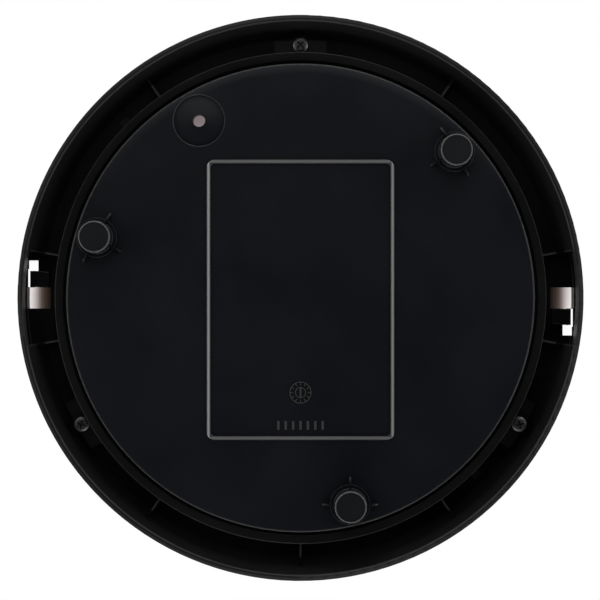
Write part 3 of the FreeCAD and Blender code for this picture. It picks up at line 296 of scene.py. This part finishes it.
def printed_film():
    """White print with a faint ring pattern."""
    material, tree, shader = new_material("print_film")
    where = place_in_object(tree)
    waves = tree.nodes.new("ShaderNodeTexWave")
    waves.wave_type = "RINGS"
    waves.rings_direction = "Z"
    waves.inputs["Scale"].default_value = 55
    waves.inputs["Distortion"].default_value = 0
    tree.links.new(where, waves.inputs["Vector"])
    colours = ramp(tree, waves.outputs["Fac"], [(0.45, (0.70, 0.71, 0.72)), (0.55, (0.74, 0.75, 0.76))])
    tree.links.new(colours, shader.inputs["Base Color"])
    tree.links.new(between(tree, noise(tree, where, 200), 0.35, 0.5), shader.inputs["Roughness"])
    return material


# ---------------------------------------------------------------- places of painted highlights and shade, in millimetres
FEET = ((107.39, 31.81), (-81.25, 77.10), (-26.15, -108.90))
SCREWS = ((0.0, 134.3), (-116.31, -67.15), (116.31, -67.15))
DISH = (53.58, 93.55)
DISH_REACH = (3.4, 13.2)
DISH_LIGHT_FADE = (DISH[1] - 3, DISH[1] + 9)
DISH_EDGE = 13.4
DISC_EDGE = 123.2
DISC_REACH = 124.0
EDGE_HIGHLIGHT_FADE = (118.5, 122.5)
UPPER_HIGHLIGHT_FADE = (60, 115)
COLLAR = (124.5, 141)
COVER_FACE = (8.9, 8.95)
GUSSET_REACH = (8.6, 16.0)
GUSSET_HEIGHT = (3.0, 8.3)
FRAME_X = (-50.5, 50.5)
FRAME_Y = (-76, 74)
BEAD_X = (-49.1, 49.1)
BEAD_Y = (-74.4, 72.4)
BEAD_LOW, BEAD_TOP = (-74.45, -73.35), (71.35, 72.45)
BEAD_RIGHT, BEAD_LEFT = (-49.05, -47.95), (47.95, 49.05)
RIM_LINE = 146.5
RIM_BAND = (147.4, 151)
RIM_TOP = 15
RIB_REACH = (130.2, 138.0)
RIB_HEIGHT = (14.0, 15.1)
PAD_TOP = 0.7
PAD_RIM, PAD_LINE = 7.95, 6.9
SCREW_RIM = 3.75


def ring(radius, half):
    """A thin ring about the middle of the scale."""
    return lambda tree, where: line(tree, distance_from(tree, where), radius, half)


def rings(centres, radius, half):
    """A thin ring about each of several points."""
    def mask(tree, where):
        total = line(tree, distance_from(tree, where, centres[0]), radius, half)
        for centre in centres[1:]:
            another = line(tree, distance_from(tree, where, centre), radius, half)
            total = calculate(tree, "MAXIMUM", total, another)
        return total
    return mask


def band(inner, outer):
    """A wide ring about the middle of the scale."""
    return lambda tree, where: within(tree, distance_from(tree, where), inner, outer)


def below(mask, top):
    """A mask kept to what is lower than a height."""
    return lambda tree, where: calculate(tree, "MULTIPLY", mask(tree, where),
                                         calculate(tree, "LESS_THAN", split_axes(tree, where)[2], top * MM))


def raised_highlight(x, y):
    """What stands out of the cover's face inside a rectangle, for painted highlights."""
    def mask(tree, where):
        across, along, height = split_axes(tree, where)
        inside = calculate(tree, "MULTIPLY", within(tree, across, *x), within(tree, along, *y))
        proud = between(tree, height, 1, 0, COVER_FACE[0] * MM, COVER_FACE[1] * MM)
        return calculate(tree, "MULTIPLY", inside, proud)
    return mask


def gusset_shade(tree, where):
    """The webs round the foot posts, below the cover's face, for painted shade."""
    total = within(tree, distance_from(tree, where, FEET[0]), *GUSSET_REACH)
    for foot in FEET[1:]:
        total = calculate(tree, "ADD", total, within(tree, distance_from(tree, where, foot), *GUSSET_REACH))
    return calculate(tree, "MULTIPLY", total, within(tree, split_axes(tree, where)[2], *GUSSET_HEIGHT))


def dish_top_painted_light(tree, where):
    """The upper part of the dished recess, fading in upwards, for painted light."""
    inside = within(tree, distance_from(tree, where, DISH), *DISH_REACH)
    along = split_axes(tree, where)[1]
    upper = between(tree, along, 0, 1, DISH_LIGHT_FADE[0] * MM, DISH_LIGHT_FADE[1] * MM)
    return calculate(tree, "MULTIPLY", inside, upper)


def upper_edge_highlight(tree, where):
    """The cover's outer edge on the side of the upper screw, for a painted highlight."""
    outer = between(tree, distance_from(tree, where), 0, 1, EDGE_HIGHLIGHT_FADE[0] * MM, EDGE_HIGHLIGHT_FADE[1] * MM)
    upper = between(tree, split_axes(tree, where)[1], 0, 1, UPPER_HIGHLIGHT_FADE[0] * MM, UPPER_HIGHLIGHT_FADE[1] * MM)
    inside = calculate(tree, "LESS_THAN", distance_from(tree, where), DISC_REACH * MM)
    return calculate(tree, "MULTIPLY", calculate(tree, "MULTIPLY", outer, inside), upper)


def rib_edge_highlights(tree, where):
    """The ribs' lower edges in the gutter, for a painted highlight."""
    height = split_axes(tree, where)[2]
    reach = within(tree, distance_from(tree, where), *RIB_REACH)
    return calculate(tree, "MULTIPLY", reach, within(tree, height, *RIB_HEIGHT))


BLACK = (0.0056, 0.0055, 0.0056)
COVER_BLACK = (0.0086, 0.0098, 0.0142)
# A darker black for painted shade on the collar, the gutter and the webs round the foot posts.
PAINTED_SHADE_BLACK = (0.0045, 0.0048, 0.0056)


def slot_materials():
    """One procedural material for each of the record's slots."""
    return {
        "shell_plastic": moulded("shell_plastic", BLACK, 0.5, specular=0.25, marks=[
            # Warm tint on the rim's outer band below RIM_TOP: a painted warm reflection.
            (below(band(*RIM_BAND), RIM_TOP), (0.008, 0.0055, 0.0045)),
            # Painted highlight: a light line round the rim's edge.
            (ring(RIM_LINE, 0.5), grey(0.06)),
            # Painted highlight on the ribs' lower edges.
            (rib_edge_highlights, grey(0.06)),
        ]),
        "cover_plastic": moulded("cover_plastic", COVER_BLACK, 0.46, specular=0.4, marks=[
            # Painted shade: the collar and the gutter darker than the disc.
            (band(*COLLAR), PAINTED_SHADE_BLACK),
            # Painted shade on the webs round the foot posts.
            (gusset_shade, PAINTED_SHADE_BLACK),
            # Painted light: the dish lighter towards its upper side.
            (dish_top_painted_light, (0.026, 0.028, 0.032)),
            # Painted highlight on the cover's edge near the upper screw.
            (upper_edge_highlight, (0.034, 0.037, 0.042)),
            # Painted highlight round the disc's rounded edge.
            (ring(DISC_EDGE, 0.7), grey(0.05)),
            # Painted highlight round the dish's edge.
            (rings((DISH,), DISH_EDGE, 0.5), (0.03, 0.03, 0.034)),
            # Painted highlights on what stands out of the face: the frame, then the bead, brightest on its
            # left side, then the right, top and bottom.
            (raised_highlight(FRAME_X, FRAME_Y), grey(0.09)),
            (raised_highlight(BEAD_X, BEAD_LOW), grey(0.24)),
            (raised_highlight(BEAD_X, BEAD_TOP), grey(0.26)),
            (raised_highlight(BEAD_RIGHT, BEAD_Y), grey(0.46)),
            (raised_highlight(BEAD_LEFT, BEAD_Y), grey(0.58)),
        ]),
        "hook_plastic": moulded("hook_plastic", BLACK, 0.38),
        "foot_rubber": moulded("foot_rubber", (0.0095, 0.0115, 0.013), 0.5, grain=1400, depth=0.04, marks=[
            # Painted highlight round each foot pad's edge, and a faint painted ring inside it.
            (below(rings(FEET, PAD_RIM, 0.55), PAD_TOP), grey(0.16)),
            (below(rings(FEET, PAD_LINE, 0.35), PAD_TOP), grey(0.03)),
        ]),
        # White silicone with a painted glow.
        "white_silicone": painted_glow(moulded("white_silicone", (0.93, 0.93, 0.92), 0.55, mottle=0.02)),
        # Pale carrier with painted shade and a painted glow.
        "pale_plastic": pale_carrier_with_painted_shade(),
        # Pinkish button with a faint pink painted glow.
        "button_plastic": painted_glow(moulded("button_plastic", (0.6, 0.5, 0.52), 0.5), (1, 0.82, 0.86), 0.2),
        "grey_plastic": moulded("grey_plastic", (0.2, 0.2, 0.21), 0.5),
        "platform_glass": clear_glass(),
        "print_film": printed_film(),
        "foam_tape": moulded("foam_tape", (0.75, 0.75, 0.72), 0.8, grain=900, depth=0.1, mottle=0.08),
        "screw_steel": brushed("screw_steel", (0.16, 0.16, 0.165), 0.5, marks=[
            # Painted highlight round each screw head's rim.
            (rings(SCREWS, SCREW_RIM, 0.4), grey(0.5)),
        ]),
        "cell_steel": brushed("cell_steel", (0.6, 0.6, 0.61)),
        "gauge_foil": moulded("gauge_foil", (0.55, 0.28, 0.06), 0.3, mottle=0.1),
        "board": circuit_board(),
        "chip_epoxy": moulded("chip_epoxy", (0.02, 0.02, 0.02), 0.55, mottle=0.1),
        "can_metal": brushed("can_metal", (0.75, 0.75, 0.76), 0.25),
        "socket_nylon": moulded("socket_nylon", (0.75, 0.72, 0.62), 0.45, mottle=0.06),
        "lcd_glass": liquid_crystal(),
        "diffuser": moulded("diffuser", (0.8, 0.86, 0.9), 0.3, mottle=0.03),
        "battery_jacket": moulded("battery_jacket", (0.06, 0.2, 0.15), 0.3, mottle=0.15),
        "contact_metal": brushed("contact_metal", (0.7, 0.68, 0.62), 0.25),
        "cable_jacket": moulded("cable_jacket", (0.05, 0.05, 0.055), 0.45, mottle=0.1),
    }


SMOOTH_BELOW = math.radians(40)
SAME_POINT = 0.001 * MM
NO_LENGTH = 1e-20


def smooth_normals(mesh):
    """Share normals between faces that meet at a shallow angle, large flat areas counting for most."""
    mesh.polygons.foreach_set("use_smooth", [True] * len(mesh.polygons))
    corner_vertex = numpy.empty(len(mesh.loops), dtype=int)
    mesh.loops.foreach_get("vertex_index", corner_vertex)
    points = numpy.empty(len(mesh.vertices) * 3)
    mesh.vertices.foreach_get("co", points)
    corners = points.reshape(-1, 3)[corner_vertex].reshape(-1, 3, 3)
    into = corners[:, [1, 2, 0]] - corners
    across = numpy.cross(into[:, 0], -into[:, 2])
    area = numpy.linalg.norm(across, axis=1, keepdims=True)
    face_normals = across / numpy.maximum(area, NO_LENGTH)
    normals = numpy.repeat(face_normals, 3, axis=0)
    _, facing = numpy.unique(numpy.round(face_normals, 3), axis=0, return_inverse=True)
    weights = numpy.repeat(numpy.bincount(facing.ravel(), area[:, 0])[facing.ravel()], 3)
    keys = numpy.round(corners.reshape(-1, 3) / SAME_POINT).astype(numpy.int64)
    _, place, counts = numpy.unique(keys, axis=0, return_inverse=True, return_counts=True)
    order = numpy.argsort(place.ravel(), kind="stable")
    shared = normals.copy()
    for members in numpy.split(order, numpy.cumsum(counts)[:-1]):
        around = normals[members]
        near = (around @ around.T > math.cos(SMOOTH_BELOW)) * weights[members]
        shared[members] = near @ around
    lengths = numpy.linalg.norm(shared, axis=1, keepdims=True)
    shared = numpy.where(lengths > NO_LENGTH, shared / numpy.maximum(lengths, NO_LENGTH), normals)
    mesh.normals_split_custom_set(shared.tolist())


def dress(materials):
    """Give every CAD node the material of its slot, and let lamps through the glass."""
    for row in frame["record"]["subparts"]:
        mesh = NODES[row["node"]].data
        mesh.materials.clear()
        mesh.materials.append(materials[row["material_slot"]])
        smooth_normals(mesh)
    NODES["glass_platform"].visible_shadow = False


# ---------------------------------------------------------------- stage, lights and camera
FLOOR_FADE = (0.3, 1.6)


def floor():
    """A pale floor that only the camera sees, and only from above.  It fades to white further out."""
    half = 2.5
    mesh = bpy.data.meshes.new("floor")
    corners = [(-half, -half, 0), (half, -half, 0), (half, half, 0), (-half, half, 0)]
    mesh.from_pydata(corners, [], [(0, 1, 2, 3)])
    plane = bpy.data.objects.new("floor", mesh)
    bpy.context.scene.collection.objects.link(plane)
    material, tree, shader = new_material("floor")
    shader.inputs["Base Color"].default_value = (0.86, 0.86, 0.86, 1)
    shader.inputs["Roughness"].default_value = 0.8
    shader.inputs["Emission Color"].default_value = (1, 1, 1, 1)
    away = distance_from(tree, place_in_object(tree))
    tree.links.new(between(tree, away, 0, 0.9, *FLOOR_FADE), shader.inputs["Emission Strength"])
    geometry = tree.nodes.new("ShaderNodeNewGeometry")
    clear = tree.nodes.new("ShaderNodeBsdfTransparent")
    mix = tree.nodes.new("ShaderNodeMixShader")
    tree.links.new(geometry.outputs["Backfacing"], mix.inputs["Fac"])
    tree.links.new(shader.outputs["BSDF"], mix.inputs[1])
    tree.links.new(clear.outputs["BSDF"], mix.inputs[2])
    tree.links.new(mix.outputs["Shader"], tree.nodes["Material Output"].inputs["Surface"])
    mesh.materials.append(material)
    plane.visible_diffuse = False
    plane.visible_glossy = False
    plane.visible_transmission = False
    plane.visible_shadow = False


DARK_BELOW = 0.0
LEVEL_BAND = 0.58
PALE_ABOVE = 0.12


def surroundings():
    """White behind the object for the camera.  Other rays meet dark below and a pale band level with it."""
    world = bpy.data.worlds.new("surroundings")
    bpy.context.scene.world = world
    world.use_nodes = True
    tree = world.node_tree
    background = tree.nodes["Background"]
    background.inputs["Color"].default_value = (1, 1, 1, 1)
    coordinates = tree.nodes.new("ShaderNodeTexCoord")
    height = between(tree, split_axes(tree, coordinates.outputs["Generated"])[2], 0, 1, -1, 1)
    level = ramp(tree, height, [(0.27, grey(DARK_BELOW)), (0.31, grey(LEVEL_BAND)),
                                (0.49, grey(LEVEL_BAND)), (0.6, grey(PALE_ABOVE))])
    path = tree.nodes.new("ShaderNodeLightPath")
    mix = tree.nodes.new("ShaderNodeMix")
    mix.inputs["B"].default_value = 1.0
    tree.links.new(path.outputs["Is Camera Ray"], mix.inputs["Factor"])
    tree.links.new(level, mix.inputs["A"])
    tree.links.new(mix.outputs["Result"], background.inputs["Strength"])


LONG_BOX = (1.3, 0.5)
AIM = Vector((0, 0, 0.01))


def softbox(name, where, size, power):
    """A rectangular area light aimed at the object."""
    light = bpy.data.lights.new(name, "AREA")
    light.shape = "RECTANGLE"
    light.size, light.size_y = size
    light.energy = power
    lamp = bpy.data.objects.new(name, light)
    lamp.location = where
    lamp.rotation_mode = "QUATERNION"
    lamp.rotation_quaternion = (AIM - Vector(where)).to_track_quat("-Z", "Y")
    bpy.context.scene.collection.objects.link(lamp)
    return lamp


def lights():
    """Soft boxes a little below for the underside, and two above that no surface mirrors."""
    softbox("left_box", (1.0, 0.0, -0.27), LONG_BOX, 2.3)
    softbox("right_box", (-1.0, 0.0, -0.27), LONG_BOX, 2.5)
    softbox("top_box", (0.0, 1.0, -0.27), LONG_BOX, 3.2)
    softbox("low_box", (0.0, -1.0, -0.27), LONG_BOX, 3.1)
    softbox("left_high", (0.85, 0.25, -0.85), (0.7, 0.5), 0.3)
    softbox("top_high", (0.0, 0.85, -0.85), (0.7, 0.5), 0.9)
    over = [softbox("over_box", (-0.5, -0.9, 1.4), (1.4, 1.0), 30),
            softbox("over_fill", (1.1, 0.7, 1.1), (1.0, 1.0), 14)]
    for lamp in over:
        lamp.visible_glossy = False
        lamp.visible_transmission = False


def camera():
    """Straight below the centre, looking up, with the display's edge at the top of the frame."""
    distance = 0.600
    ring_height = 0.012
    ring_radius = 0.150
    ring_share = 283.1 / 300
    data = bpy.data.cameras.new("camera")
    data.sensor_width = 36
    data.lens = data.sensor_width / 2 * ring_share * (distance + ring_height) / ring_radius
    data.clip_start = 0.01
    body = bpy.data.objects.new("camera", data)
    body.location = (0.00027, -0.0011, -distance)
    body.rotation_euler = (0, math.pi, 0)
    bpy.context.scene.collection.objects.link(body)
    bpy.context.scene.camera = body


bpy.context.scene.view_settings.view_transform = "Standard"
dress(slot_materials())
floor()
surroundings()
lights()
camera()
